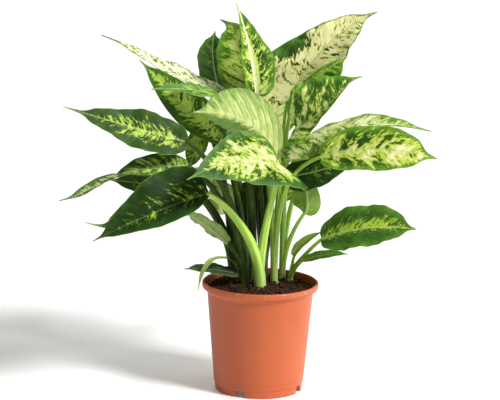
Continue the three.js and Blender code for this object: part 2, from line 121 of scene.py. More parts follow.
def rounded_profile(corners, radius):
    """Each inner corner of a broken line becomes a small parabola. It starts and ends a radius away from
    the corner, or nearly halfway along a side that is short."""
    line = np.array(corners, float)
    path = [line[0]]
    t = np.linspace(0, 1, CORNER_STEPS)[:, None]
    for before, corner, after in zip(line[:-2], line[1:-1], line[2:]):
        back, ahead = before - corner, after - corner
        cut_back = min(radius / np.linalg.norm(back), LONGEST_CUT)
        cut_ahead = min(radius / np.linalg.norm(ahead), LONGEST_CUT)
        start, end = corner + back * cut_back, corner + ahead * cut_ahead
        path.extend((1 - t) ** 2 * start + 2 * t * (1 - t) * corner + t * t * end)
    path.append(line[-1])
    return np.array(path)


class Finish:
    """A node material: adds texture and maths nodes by name, and wires them as they are used."""

    def __init__(self, name):
        self.material = bpy.data.materials.new(name)
        self.material.use_nodes = True
        self.tree = self.material.node_tree
        self.shader = self.tree.nodes["Principled BSDF"]

    def feed(self, socket, value):
        """Links a socket, or sets a plain value."""
        if isinstance(value, bpy.types.NodeSocket):
            self.tree.links.new(value, socket)
        elif value is not None:
            socket.default_value = value

    def add(self, kind, inputs=None, **settings):
        """One node of the given kind with its settings and inputs."""
        made = self.tree.nodes.new(kind)
        for key, value in settings.items():
            setattr(made, key, value)
        for key, value in (inputs or {}).items():
            self.feed(made.inputs[key], value)
        return made

    def math(self, operation, a, b=None, c=None):
        """Plain arithmetic on up to three sockets or numbers."""
        return self.add("ShaderNodeMath", {0: a, 1: b, 2: c}, operation=operation).outputs[0]

    def step(self, value, low, high, out_low=0.0, out_high=1.0):
        """A smooth step from out_low to out_high while value goes from low to high."""
        inputs = {"Value": value, "From Min": low, "From Max": high, "To Min": out_low, "To Max": out_high}
        return self.add("ShaderNodeMapRange", inputs, interpolation_type="SMOOTHSTEP").outputs[0]

    def blend(self, share, first, second):
        """Mixes two colours by a share."""
        made = self.add("ShaderNodeMix", data_type="RGBA", clamp_factor=True)
        for socket, value in ((made.inputs[0], share), (made.inputs[6], first), (made.inputs[7], second)):
            self.feed(socket, value)
        return made.outputs[2]

    def noise(self, place, scale, detail=3.0, roughness=0.55, distortion=0.0):
        """Cloudy noise between about 0.2 and 0.8."""
        inputs = {"Vector": place, "Scale": scale, "Detail": detail, "Roughness": roughness,
                  "Distortion": distortion}
        return self.add("ShaderNodeTexNoise", inputs).outputs["Fac"]

    def stretched(self, place, scale, offset=(0, 0, 0)):
        """A place scaled by three numbers and then moved."""
        inputs = {"Vector": place, "Scale": scale, "Location": offset}
        return self.add("ShaderNodeMapping", inputs).outputs[0]

    def relief(self, height, strength, distance):
        """Bump from a height pattern, straight into the shader."""
        bump = self.add("ShaderNodeBump", {"Height": height, "Strength": strength, "Distance": distance})
        self.feed(self.shader.inputs["Normal"], bump.outputs[0])

    def surface(self, colour, roughness, gloss):
        """Colour, roughness and strength of the highlights."""
        values = {"Base Color": colour, "Roughness": roughness, "Specular IOR Level": gloss}
        for name, value in values.items():
            self.feed(self.shader.inputs[name], value)


def pot_finish():
    """Satin plastic: warm terracotta with very faint clouding, a fine moulded grain, a thin dark line
    a little above the foot, and chalky specks of dried water on the lip."""
    make = Finish("pot_plastic")
    place = make.add("ShaderNodeTexCoord").outputs["Object"]
    height = make.add("ShaderNodeSeparateXYZ", {0: place}).outputs[2]
    cloud = make.noise(place, 16, 3)
    flow = make.noise(make.stretched(place, (50, 50, 7)), 1, 2)
    grain = make.noise(place, 1900, 2)
    chalk = make.noise(make.stretched(place, (420, 420, 260)), 1, 5, 0.7)
    colour = make.blend(make.step(cloud, 0.3, 0.75, 0, 0.3), tint(TERRACOTTA), tint(TERRACOTTA_PALE))
    colour = make.blend(make.step(flow, 0.4, 0.8, 0, 0.16), colour, tint(TERRACOTTA_DARK))
    below = make.step(height, FOOT_LINE * MM, (FOOT_LINE + 0.5) * MM)
    above = make.step(height, (FOOT_LINE + 0.6) * MM, (FOOT_LINE + 1.4) * MM, 1, 0)
    line = make.math("MULTIPLY", make.math("MULTIPLY", below, above), 0.3)
    colour = make.blend(line, colour, tint(TERRACOTTA_DARK))
    on_lip = make.step(height, (POT_HEIGHT - 7) * MM, (POT_HEIGHT - 2) * MM)
    specks = make.math("MULTIPLY", make.step(chalk, 0.58, 0.66, 0, 0.6), on_lip)
    colour = make.blend(specks, colour, tint("#efd3bc"))
    make.surface(colour, make.step(cloud, 0.2, 0.8, 0.38, 0.5), 0.36)
    make.relief(make.math("ADD", grain, make.math("MULTIPLY", flow, 1.5)), 0.14, 0.0003)
    return make.material


def notch_height(angle):
    """Height of the foot ring's lower edge: 0, with steep sides up to a flat top in four places."""
    spacing = 2 * math.pi / NOTCH_COUNT
    away = (angle - math.radians(NOTCH_START_DEG) + spacing / 2) % spacing - spacing / 2
    across = np.abs(away) * FOOT_RADIUS
    return np.interp(across, [NOTCH_TOP_WIDTH / 2, NOTCH_WIDTH / 2], [NOTCH_HEIGHT, 0])


pot_corners = [
    (0, FLOOR_UNDERSIDE),
    (FOOT_RADIUS - FOOT_WALL, FLOOR_UNDERSIDE),
    (FOOT_RADIUS - FOOT_WALL, 0),
    (FOOT_RADIUS, 0),
    (FOOT_RADIUS + 0.5, FLOOR_UNDERSIDE - 0.6),
    (BODY_FOOT_RADIUS, FLOOR_UNDERSIDE + 0.3),
    (BODY_TOP_RADIUS, NECK),
    (BODY_TOP_RADIUS + 1.4, NECK + 2),
    (RIM_RADIUS - 1, POT_HEIGHT - LIP_HEIGHT - 1),
    (RIM_RADIUS, POT_HEIGHT - LIP_HEIGHT),
    (RIM_RADIUS, POT_HEIGHT - 1.2),
    (RIM_RADIUS - 1.3, POT_HEIGHT),
    (RIM_INNER_RADIUS + 0.7, POT_HEIGHT),
    (RIM_INNER_RADIUS, POT_HEIGHT - 1),
    (RIM_INNER_RADIUS - 0.4, POT_HEIGHT - LIP_HEIGHT - 2),
    (BODY_TOP_RADIUS - WALL, NECK - 1),
    (BODY_FOOT_RADIUS - WALL, FLOOR_TOP),
    (0, FLOOR_TOP),
]
profile = rounded_profile(pot_corners, CORNER_RADIUS)[1:-1]
notch_turns = [math.radians(NOTCH_START_DEG + 360 / NOTCH_COUNT * i) for i in range(NOTCH_COUNT)]
corner_angles = [
    turn + sign * width / 2 / FOOT_RADIUS
    for turn in notch_turns
    for sign in (-1, 1)
    for width in (NOTCH_WIDTH, NOTCH_TOP_WIDTH)
]
angles = np.unique(np.concatenate([
    np.linspace(0, 2 * math.pi, POT_COLUMNS, endpoint=False),
    np.array(corner_angles) % (2 * math.pi),
]))
pot_r, pot_z = profile[:, :1], profile[:, 1:] * np.ones((1, len(angles)))
on_ring = (pot_z < FLOOR_UNDERSIDE) & (pot_r < FOOT_RADIUS + 1)
pot_z = np.where(on_ring, pot_z + notch_height(angles)[None, :] * (1 - pot_z / FLOOR_UNDERSIDE), pot_z)
pot_points = np.stack([pot_r * np.cos(angles), pot_r * np.sin(angles), pot_z], axis=-1).reshape(-1, 3)
pot_faces = grid_faces(len(profile), len(angles), around=True).tolist()
underside_centre, floor_centre = len(pot_points), len(pot_points) + 1
pot_points = np.vstack([pot_points, [0, 0, FLOOR_UNDERSIDE], [0, 0, FLOOR_TOP]])
first_ring = np.arange(len(angles))
last_ring = first_ring + (len(profile) - 1) * len(angles)
for here, there in zip(first_ring, np.roll(first_ring, -1)):
    pot_faces.append([underside_centre, there, here])
for here, there in zip(last_ring, np.roll(last_ring, -1)):
    pot_faces.append([floor_centre, here, there])
pot = add_piece("nursery_pot", pot_points, pot_faces, pot_finish(), "pot", 35)
drill_mesh = bpy.data.meshes.new("drills")
drill_form = bmesh.new()
for turn in notch_turns:
    centre = Vector(AXIS) + Vector((math.cos(turn), math.sin(turn), 0)) * DRAIN_RING_RADIUS * MM
    centre.z = FLOOR_TOP * MM
    drill_place = Matrix.Translation(centre)
    drill_size = {"radius1": DRAIN_RADIUS * MM, "radius2": DRAIN_RADIUS * MM, "depth": FLOOR_TOP * MM}
    bmesh.ops.create_cone(drill_form, cap_ends=True, segments=DRAIN_SIDES, matrix=drill_place, **drill_size)
drill_form.to_mesh(drill_mesh)
drill_form.free()
drills = add_object("drills", drill_mesh)
cut = pot.modifiers.new("drains", "BOOLEAN")
cut.object = drills
cut.operation = "DIFFERENCE"
cut.solver = "EXACT"
cut_mesh = bpy.data.meshes.new_from_object(pot.evaluated_get(bpy.context.evaluated_depsgraph_get()))
pot.modifiers.clear()
pot.data = cut_mesh
bpy.data.objects.remove(drills)


# Soil: moist peat that fills the pot to a few millimetres under the rim, pressed into a low, lumpy heap.
# Crumbs of peat and red-brown bark lie loose on it, between the canes.
SOIL_TOP = 107.5
SOIL_HEAP = 1.6
SOIL_RELIEF = 0.9
SOIL_RADIUS = RIM_INNER_RADIUS - 3.7
SOIL_CLEARANCE = 0.4
SOIL_RINGS = 90
SOIL_COLUMNS = 200
CRUMBS = 1500
PEAT_DARK = "#1d110b"
PEAT = "#3b2418"
PEAT_RED = "#7a4529"
CANE_FEET = {
    "a": (-1, -7), "b": (14, 15), "c": (22.5, 28), "d": (31, 24),
    "e": (-17, 1), "f": (-28.5, 12), "g": (2.5, 37), "h": (-8.5, 26),
}


def soil_height(x, y):
    """A low heap with lumps from four crossed waves, and eighteen seeded finer waves over them."""
    share = np.hypot(x, y) / SOIL_RADIUS
    lumps = np.sin(x * 0.31 + 1.3) * np.cos(y * 0.27) + 0.6 * np.sin(x * 0.55 - y * 0.47 + 0.4)
    draw = np.random.default_rng(4)
    fine = np.zeros_like(x)
    for _ in range(18):
        pitch, heading, phase = draw.uniform(2.2, 9), draw.uniform(0, 2 * math.pi), draw.uniform(0, 6.3)
        wave = (x * math.cos(heading) + y * math.sin(heading)) * 2 * math.pi / pitch
        fine += np.sin(wave + phase) * pitch * 0.022
    return SOIL_TOP + SOIL_HEAP * (1 - share ** 2) + SOIL_RELIEF * lumps * (1 - share ** 3) + fine


def soil_finish(name, red_share):
    """Dark, rough peat with red-brown fibres and crumbs in it."""
    make = Finish(name)
    place = make.add("ShaderNodeTexCoord").outputs["Object"]
    coarse = make.noise(place, 230, 5, 0.65)
    fine = make.noise(place, 1100, 4, 0.7)
    fibre = make.noise(make.stretched(place, (900, 160, 500)), 1, 3)
    colour = make.blend(make.step(coarse, 0.35, 0.65), tint(PEAT_DARK), tint(PEAT))
    colour = make.blend(make.step(fibre, 0.52, 0.66, 0, red_share), colour, tint(PEAT_RED))
    colour = make.blend(make.step(fine, 0.62, 0.72, 0, 0.35), colour, tint("#a9754f"))
    make.surface(colour, make.step(coarse, 0.3, 0.7, 0.8, 0.98), 0.25)
    make.relief(make.math("ADD", coarse, make.math("MULTIPLY", fine, 0.7)), 0.8, 0.0012)
    return make.material


ring_radius = SOIL_RADIUS * np.linspace(0.004, 1, SOIL_RINGS)[:, None]
soil_angles = np.linspace(0, 2 * math.pi, SOIL_COLUMNS, endpoint=False)[None, :]
soil_x, soil_y = ring_radius * np.cos(soil_angles), ring_radius * np.sin(soil_angles)
soil_points = [np.stack([soil_x, soil_y, soil_height(soil_x, soil_y)], axis=-1).reshape(-1, 3)]
soil_sides = [
    (BODY_TOP_RADIUS - WALL - SOIL_CLEARANCE, NECK - 2),
    (BODY_FOOT_RADIUS - WALL - SOIL_CLEARANCE, FLOOR_TOP + 0.3),
]
for radius, height in soil_sides:
    ring = [radius * np.cos(soil_angles), radius * np.sin(soil_angles), height + 0 * soil_angles]
    soil_points.append(np.stack(ring, axis=-1).reshape(-1, 3))
soil_points = np.vstack(soil_points)
soil_rows = SOIL_RINGS + 2
soil_faces = grid_faces(soil_rows, SOIL_COLUMNS, around=True)[:, ::-1].tolist()
soil_faces.append(list(range(SOIL_COLUMNS)))
soil_faces.append(list(range((soil_rows - 1) * SOIL_COLUMNS, soil_rows * SOIL_COLUMNS))[::-1])
add_piece("soil_bed", soil_points, soil_faces, soil_finish("peat", 0.5), "soil", 80)

draw = np.random.default_rng(11)
crumb_form = bmesh.new()
bmesh.ops.create_icosphere(crumb_form, subdivisions=1, radius=1)
crumb_points = np.array([v.co[:] for v in crumb_form.verts])
crumb_faces = np.array([[v.index for v in f.verts] for f in crumb_form.faces])
crumb_form.free()
crumb_r = (SOIL_RADIUS - 1.5) * np.sqrt(draw.uniform(0, 1, CRUMBS))
crumb_turn = draw.uniform(0, 2 * math.pi, CRUMBS)
crumb_x, crumb_y = crumb_r * np.cos(crumb_turn), crumb_r * np.sin(crumb_turn)
crumb_size = 0.5 + 1.5 * draw.uniform(0, 1, CRUMBS) ** 3
stretch = draw.uniform(0.6, 1.5, (CRUMBS, 1, 3)) * draw.uniform(0.8, 1.2, (CRUMBS, len(crumb_points), 1))
axes = np.linalg.qr(draw.normal(size=(CRUMBS, 3, 3)))[0]
axes *= np.sign(np.linalg.det(axes))[:, None, None]
lumps = np.einsum("cij,cpj->cpi", axes, crumb_points[None] * stretch) * crumb_size[:, None, None]
seat = np.stack([crumb_x, crumb_y, soil_height(crumb_x, crumb_y) + crumb_size * 0.35], axis=-1)
lumps += seat[:, None, :]
all_faces = crumb_faces[None] + (np.arange(CRUMBS) * len(crumb_points))[:, None, None]
bark = soil_finish("bark_crumbs", 0.95)
add_piece("soil_crumbs", lumps, all_faces.reshape(-1, 3), bark, "soil", 80)


# Shoot a, at the front: a stout green cane with two leaves, whose stalks are the thickest of the clump.
# Each stalk is a fleshy rod, grooved down its inner side, that clasps the cane with a thin-edged sheath.
# The front leaf is cream inside a green border, and the long one at the left is dark, partly as painted
# shade, with lime flecks.
CANE_DEPTH = 26
CANE_TOP = 9
CANE_STEPS = 40
CANE_COLUMNS = 28
SCAR_DEPTH = 0.012
SCAR_PITCH = 3.7
CANE_SHARE = 0.03
STALK_START = 3.0
STALK_STEPS = 56
STALK_COLUMNS = 20
SLIM_STALK = (3.3, 1.9)
STOUT_STALK = (4.9, 2.4)
BLADE_OVERLAP = 3
BLADE_ROWS = 120
BLADE_COLUMNS = 29
EDGE_CROWDING = 1.45
BASE_CROWDING = 1.25
BLADE_THICKNESS = 0.8
NECK_HALF_WIDTH = 1.2
TIP_HALF_WIDTH = 0.4
HOOK_FROM = 0.84
HOOK_SHARE = 0.16
TAIL_SLIMMING = 0.65
RIPPLES = 6
FRILLS = 17
VEIN_LEAN = 0.62
VEIN_BEND = 0.007
NARROW_PITCH = 3.2
PITCH_GROWTH = 0.09
BROAD_PITCH = 8.5
STALK_PALE = "#bcd67c"
PATTERN_GAIN = 2.6
USUAL_LEAF = dict(
    hook=(0, 0, 0), front=1, back=1, flare_front=0, flare_back=0, wide=0.36, point=0.5, neck=0.12,
    lobe=0.3, fold=8, twist=0, wave=0.07, frill=0.025, tail_from=0.83, rise=0.5, slot="leaf_patterned",
)
# In a look, cover is the marks' share of the skin, cream their whiteness and border the green edge beside
# them. Streak, fleck and strips weigh the noises that shape them, grain and coarse size these noises, and
# centre and fade thin the marks out towards the edge and the tip.
USUAL_LOOK = dict(
    border=3, rim=0.3, centre=0.25, fade=0.2, streak=0.4, fleck=0.4, strips=0.24, grain=1, coarse=1,
    round_off=1, soft=1, yellow=0.6, halo=0.35, ribs=0.22, furrow=0.12, rib=1, rib_light=0.6,
    rib_colour="#c3d486", gloss=0.14, green="#294716", lively="#5a8a2a", lime="#a8c63a", creamy="#eae7ae",
    under=0.25, under_green="#789a40",
)
LEAF_HALO = "#83a83c"


def unit(vectors):
    """Vectors along the last axis, brought to length 1."""
    return vectors / np.linalg.norm(vectors, axis=-1, keepdims=True)


def midrib(leaf, u):
    """A parabola through base, mid and tip, with the last sixth bent over by the hook, and its heading."""
    base, mid, tip = (np.array(leaf[key], float) for key in ("base", "mid", "tip"))
    control = 2 * mid - (base + tip) / 2
    u = np.asarray(u, float)[..., None]
    point = (1 - u) ** 2 * base + 2 * u * (1 - u) * control + u * u * tip
    along = 2 * (1 - u) * (control - base) + 2 * u * (tip - control)
    hook = np.array(leaf["hook"], float)
    bend = np.maximum(0, (u - HOOK_FROM) / HOOK_SHARE)
    return point + hook * bend ** 2, unit(along + hook * 2 * bend / HOOK_SHARE)


def outline(leaf, u):
    """A quarter oval from the neck to the widest place, then a long taper that thins into a drip tip."""
    wide, point = leaf["wide"], leaf["point"]
    near = np.maximum(0, 1 - (1 - np.minimum(u, wide) / wide) ** 2) ** 0.55
    far = np.clip((u - wide) / (1 - wide), 0, 1)
    taper = np.maximum(0, 1 - far ** (2.5 - point)) ** (0.9 + 0.4 * point)
    drip = np.clip((u - leaf["tail_from"]) / 0.12, 0, 1)
    slim = 1 - TAIL_SLIMMING * drip * drip * (3 - 2 * drip)
    return np.where(u < wide, near, taper) * slim


def blade_surface(leaf, u, v):
    """Middle surface of a blade, whose top looks towards the face. u runs from 0 at the stalk to 1 at the
    tip, and v from -1 to 1 over the two halves, which have shares front and back of half the width. A flare
    adds to a half near the base. Each half leaves the midrib at the fold's angle and ripples towards its
    edge. Both lag behind the midrib at the base, as lobes, and run ahead of it in the middle."""
    point, along = midrib(leaf, u)
    side = unit(np.cross(along, np.array(leaf["face"], float)))
    up = np.cross(side, along)
    turn = np.radians(leaf["twist"]) * (np.clip(u, 0.15, 0.85) - 0.3)[..., None]
    across = side * np.cos(turn) + up * np.sin(turn)
    raised = up * np.cos(turn) - side * np.sin(turn)
    share = np.where(v < 0, leaf["front"], leaf["back"])
    flare = np.where(v < 0, leaf["flare_front"], leaf["flare_back"]) * (1 - u) ** 3
    half = leaf["width"] / 2 * outline(leaf, u) * (share + flare)
    reach = half + NECK_HALF_WIDTH * (1 - u) + TIP_HALF_WIDTH * u
    spread = np.abs(v)
    fold = np.radians(leaf["fold"] + (leaf.get("fold_tip", leaf["fold"]) - leaf["fold"]) * u)
    ripple = np.sin(RIPPLES * np.pi * u + np.where(v > 0, 0, 1.9)) * spread ** 2
    frill = np.sin(FRILLS * np.pi * u + np.where(v > 0, 0.6, 2.4) + leaf["seed"]) * spread ** 5
    unrest = leaf["wave"] * ripple + leaf["frill"] * frill
    lift = reach * spread * np.sin(fold) + unrest * half
    lobe = np.where(v < 0, leaf.get("lobe_front", leaf["lobe"]), leaf["lobe"])
    lag = -lobe * half * spread ** 1.3 * (1 - u) ** 3 + 0.3 * half * spread ** 1.2 * u * (1 - u)
    shift = across * (reach * v * np.cos(fold))[..., None] + raised * lift[..., None]
    return point + shift + along * lag[..., None], reach


def vein_places(leaf, u, v, reach):
    """Where a point's side vein leaves the midrib: the length up to the point, less a share of the way out
    and a little of its square. Then the way out, which is negative on one half, and the way to the edge."""
    line = midrib(leaf, u[:, 0])[0]
    steps = np.linalg.norm(np.diff(line, axis=0), axis=-1)
    arc = np.concatenate([[0], np.cumsum(steps)])[:, None]
    out = np.abs(v) * reach
    return arc - VEIN_LEAN * out - VEIN_BEND * out ** 2, v * reach, reach + 0 * v


def make_spot(make, spot, along, across, fleck):
    """Squared distance of a point from the middle of an oval patch, in patch radii, with a ragged edge."""
    there, over, length, breadth = spot
    off = make.math("DIVIDE", make.math("SUBTRACT", along, there), length)
    off_side = make.math("DIVIDE", make.math("SUBTRACT", across, over), breadth)
    gone = make.math("ADD", make.math("MULTIPLY", off, off), make.math("MULTIPLY", off_side, off_side))
    return make.math("MULTIPLY_ADD", make.math("SUBTRACT", fleck, 0.5), 4, gone)


def blade_finish(name, leaf):
    """Satin leaf skin: green, with lime and cream marks that follow the side veins and leave a green edge.
    The marks show where a sum of three noises and a draw for each strip between veins passes a limit, which
    the cover sets. The midrib is pale, and the underside is a dull green that the marks barely reach."""
    look = leaf["look"]
    make = Finish(name)
    place = make.add("ShaderNodeAttribute", attribute_name="place").outputs["Vector"]
    vein = make.add("ShaderNodeAttribute", attribute_name="vein").outputs["Vector"]
    along, across, under = make.add("ShaderNodeSeparateXYZ", {0: place}).outputs
    start, signed_out, reach = make.add("ShaderNodeSeparateXYZ", {0: vein}).outputs
    out = make.math("ABSOLUTE", signed_out)
    flat = make.add("ShaderNodeCombineXYZ", {0: start, 1: signed_out, 2: 7.3 * leaf["seed"]}).outputs[0]
    grain = look["grain"]
    round_off = look["round_off"]
    streak = make.noise(make.stretched(flat, (0.27 / grain, 0.13 * round_off / grain, 1)), 1, 3, 0.6, 0.4)
    blotch = make.noise(make.stretched(flat, (0.15 / grain, 0.1 / grain, 1), (3, 5, 1)), 1, 4, 0.62, 0.5)
    coarse = look["coarse"]
    fleck_size = (0.52 / coarse, 0.33 * round_off / coarse, 1)
    fleck = make.noise(make.stretched(flat, fleck_size, (9, 2, 4)), 1, 4, 0.65, 0.6)
    ragged_start = make.math("MULTIPLY_ADD", fleck, 2.5, start)
    strip = make.math("FLOOR", make.math("DIVIDE", ragged_start, leaf["pitch"] / 2.2))
    side = make.math("SIGN", signed_out)
    chance_place = make.add("ShaderNodeCombineXYZ", {0: strip, 1: side, 2: leaf["seed"]}).outputs[0]
    chance = make.add("ShaderNodeTexWhiteNoise", {"Vector": chance_place}).outputs["Value"]
    share = look["streak"]
    field = make.math("MULTIPLY", streak, PATTERN_GAIN * 0.8 * share)
    field = make.math("MULTIPLY_ADD", blotch, PATTERN_GAIN * 0.8 * (1 - share), field)
    field = make.math("MULTIPLY_ADD", fleck, PATTERN_GAIN * look["fleck"], field)
    field = make.math("MULTIPLY_ADD", chance, look["strips"], field)
    balance = (PATTERN_GAIN * (0.8 + look["fleck"]) + look["strips"]) * 0.5
    edge_room = make.math("SUBTRACT", reach, out)
    centred = make.math("SUBTRACT", 0.6, make.math("POWER", make.math("DIVIDE", out, reach), 1.6))
    field = make.math("MULTIPLY_ADD", centred, look["centre"], field)
    field = make.math("SUBTRACT", field, make.step(along, 0.6, 1, 0, look["fade"]))
    if "patch" in look:
        spot = make_spot(make, look["patch"], along, across, fleck)
        field = make.math("SUBTRACT", field, make.step(spot, 0.7, 1.1, 1.6, 0))
    if "blaze" in look:
        blaze = make_spot(make, look["blaze"], along, across, fleck)
        field = make.math("ADD", field, make.step(blaze, 0.4, 1.2, 0.42, 0))
    limit = balance + 0.35 * (1 - 2 * look["cover"])
    soft = look["soft"]
    pale = make.step(field, limit - 0.04 * soft, limit + 0.06 * soft)
    border = look["border"]
    wobble = make.math("MULTIPLY_ADD", make.math("SUBTRACT", fleck, 0.5), 6 * border ** 0.5, edge_room)
    pale = make.math("MULTIPLY", pale, make.step(wobble, border * 0.6, border + 1))
    lime_to = look.get("lime_to", 0.42 - 0.2 * look["cream"])
    whiter = make.step(field, limit + 0.05, limit + lime_to, 0, look["cream"])
    whiter = make.math("MULTIPLY", whiter, make.step(blotch, 0.3, 0.55, look["yellow"], 1))
    deep = tint(look["green"])
    lively = tint(look["lively"])
    near_edge = make.step(edge_room, 1, 11, 0.55, 0)
    fresh = make.math("ADD", near_edge, make.step(blotch, 0.42, 0.7, 0, 0.6))
    green = make.blend(fresh, deep, lively)
    halo = make.step(field, limit - 0.22, limit, 0, look["halo"])
    green = make.blend(halo, green, tint(LEAF_HALO))
    patch = make.blend(whiter, tint(look["lime"]), tint(look["creamy"]))
    colour = make.blend(pale, green, patch)
    beat = make.math("PINGPONG", make.math("DIVIDE", start, leaf["pitch"]), 0.5)
    furrow = make.step(beat, 0.3, 0.5, 0, look["furrow"])
    furrow = make.math("MULTIPLY", furrow, make.step(streak, 0.35, 0.6))
    colour = make.blend(furrow, colour, deep)
    rib_width = make.math("MULTIPLY_ADD", along, -0.8 * look["rib"], look["rib"])
    rib = make.step(make.math("SUBTRACT", out, rib_width), -0.2, 0.7, look["rib_light"], 0)
    colour = make.blend(rib, colour, tint(look["rib_colour"]))
    rim = make.step(edge_room, 0.3, 0.9, look["rim"], 0)
    colour = make.blend(rim, colour, tint("#9fbd62"))
    if "dry_from" in look:
        ragged_along = make.math("MULTIPLY_ADD", fleck, 0.1, along)
        dry = make.step(ragged_along, look["dry_from"], look["dry_from"] + 0.05)
        colour = make.blend(dry, colour, tint("#6f7048"))
    dull = tint(look["under_green"])
    dull = make.blend(make.math("MULTIPLY", pale, look["under"]), dull, tint("#c3cf98"))
    dull = make.blend(make.math("MULTIPLY", rib, 0.8), dull, tint("#b9cc82"))
    colour = make.blend(under, colour, dull)
    make.surface(colour, make.step(blotch, 0.2, 0.8, 0.42, 0.58), look["gloss"])
    height = make.math("MULTIPLY_ADD", beat, 1.2, make.math("MULTIPLY", fleck, 0.5))
    make.relief(height, 0.35, 0.0005)
    return make.material


def add_layer(piece, title, values):
    """Stores three numbers for each point of a piece, for its material to read."""
    layer = piece.data.attributes.new(title, "FLOAT_VECTOR", "POINT")
    layer.data.foreach_set("vector", values.astype(np.float32).ravel())


def make_blade(name, leaf):
    """Two skins over the middle surface: ribs between the side veins, a channel over the midrib on top,
    and under it a rounded keel that runs on from the stalk. The edge is thinner than the middle."""
    rows = BLADE_ROWS if leaf["width"] > 30 else BLADE_ROWS // 2
    u = (np.linspace(0, 1, rows) ** BASE_CROWDING)[:, None] * np.ones((1, BLADE_COLUMNS))
    x = np.linspace(-1, 1, BLADE_COLUMNS)[None, :] * np.ones((rows, 1))
    v = np.sign(x) * np.abs(x) ** EDGE_CROWDING
    middle, reach = blade_surface(leaf, u, v)
    start, out, edge = vein_places(leaf, u, v, reach)
    ahead = np.gradient(middle, axis=0)
    sideways = np.gradient(middle, axis=1)
    normal = unit(np.cross(sideways, ahead))
    ribs = np.cos(2 * np.pi * start / leaf["pitch"]) * np.abs(v) ** 0.5 * (1 - np.abs(v) ** 6)
    ribs = ribs * leaf["look"]["ribs"] * np.minimum(1, reach / 8)
    channel = -0.5 * np.exp(-(out / 1.5) ** 2) * (1 - u)
    half_thick = BLADE_THICKNESS / 2 * (1 - 0.6 * v ** 4)
    keel_radius = leaf["stalk"][1] * (1 - u) ** 0.7 * 0.9 + 0.15
    keel = 1.3 * keel_radius * np.sqrt(np.maximum(0, 1 - (out / keel_radius) ** 2))
    top = middle + normal * (half_thick + ribs + channel)[..., None]
    bottom = middle + normal * (-half_thick + ribs * 0.7 - keel)[..., None]
    count = rows * BLADE_COLUMNS
    skin = grid_faces(rows, BLADE_COLUMNS)
    faces = [skin, skin[:, ::-1] + count]
    left = np.arange(rows) * BLADE_COLUMNS
    right = left + BLADE_COLUMNS - 1
    base = np.arange(BLADE_COLUMNS)
    tip = base + (rows - 1) * BLADE_COLUMNS
    rims = [(left[1:], left[:-1]), (right[:-1], right[1:]), (base[:-1], base[1:]), (tip[1:], tip[:-1])]
    for near, far in rims:
        faces.append(np.stack([near, near + count, far + count, far], axis=-1))
    points = np.vstack([top.reshape(-1, 3), bottom.reshape(-1, 3)])
    finish = blade_finish(name + "_skin", leaf)
    piece = add_piece(name + "_blade", points, np.vstack(faces), finish, name, 80)
    under = np.concatenate([np.zeros(count), np.ones(count)])
    places = np.stack([np.tile(u.ravel(), 2), np.tile(v.ravel(), 2), under], axis=-1)
    veins = np.stack([np.tile(values.ravel(), 2) for values in (start, out, edge)], axis=-1)
    add_layer(piece, "place", places)
    add_layer(piece, "vein", veins)


def stalk_finish(name, pale_share, green, deep, clasp, gloss):
    """Fleshy green rind with long lighter and darker lines and fine pale flecks along the stalk,
    paler where the sheath clasps."""
    make = Finish(name)
    place = make.add("ShaderNodeAttribute", attribute_name="rod").outputs["Vector"]
    height, _, _ = make.add("ShaderNodeSeparateXYZ", {0: place}).outputs
    solid = make.add("ShaderNodeTexCoord").outputs["Object"]
    cloud = make.noise(solid, 45, 3)
    fleck = make.noise(make.stretched(solid, (900, 900, 130)), 1, 3, 0.6)
    line = make.noise(make.stretched(place, (1.3, 2.1, 2.1)), 1, 3, 0.6)
    shade = make.math("MULTIPLY_ADD", line, 1.6, make.math("MULTIPLY", cloud, 0.5))
    colour = make.blend(make.step(shade, 0.82, 1.3), tint(deep), tint(green))
    colour = make.blend(make.step(fleck, 0.55, 0.68, 0, pale_share), colour, tint(STALK_PALE))
    colour = make.blend(make.step(height, 0.0, 0.16, clasp, 0), colour, tint("#b9c489"))
    make.surface(colour, make.step(cloud, 0.2, 0.8, 0.3, 0.44), gloss)
    make.relief(fleck, 0.25, 0.0004)
    return make.material


def rod_places(share, angle, offset):
    """Where each point lies on a rod: its share of the length, and its direction around, moved aside."""
    places = [share + 0 * angle, np.cos(angle) + offset + 0 * share, np.sin(angle) + 0 * share]
    return np.stack(places, axis=-1).reshape(-1, 3)


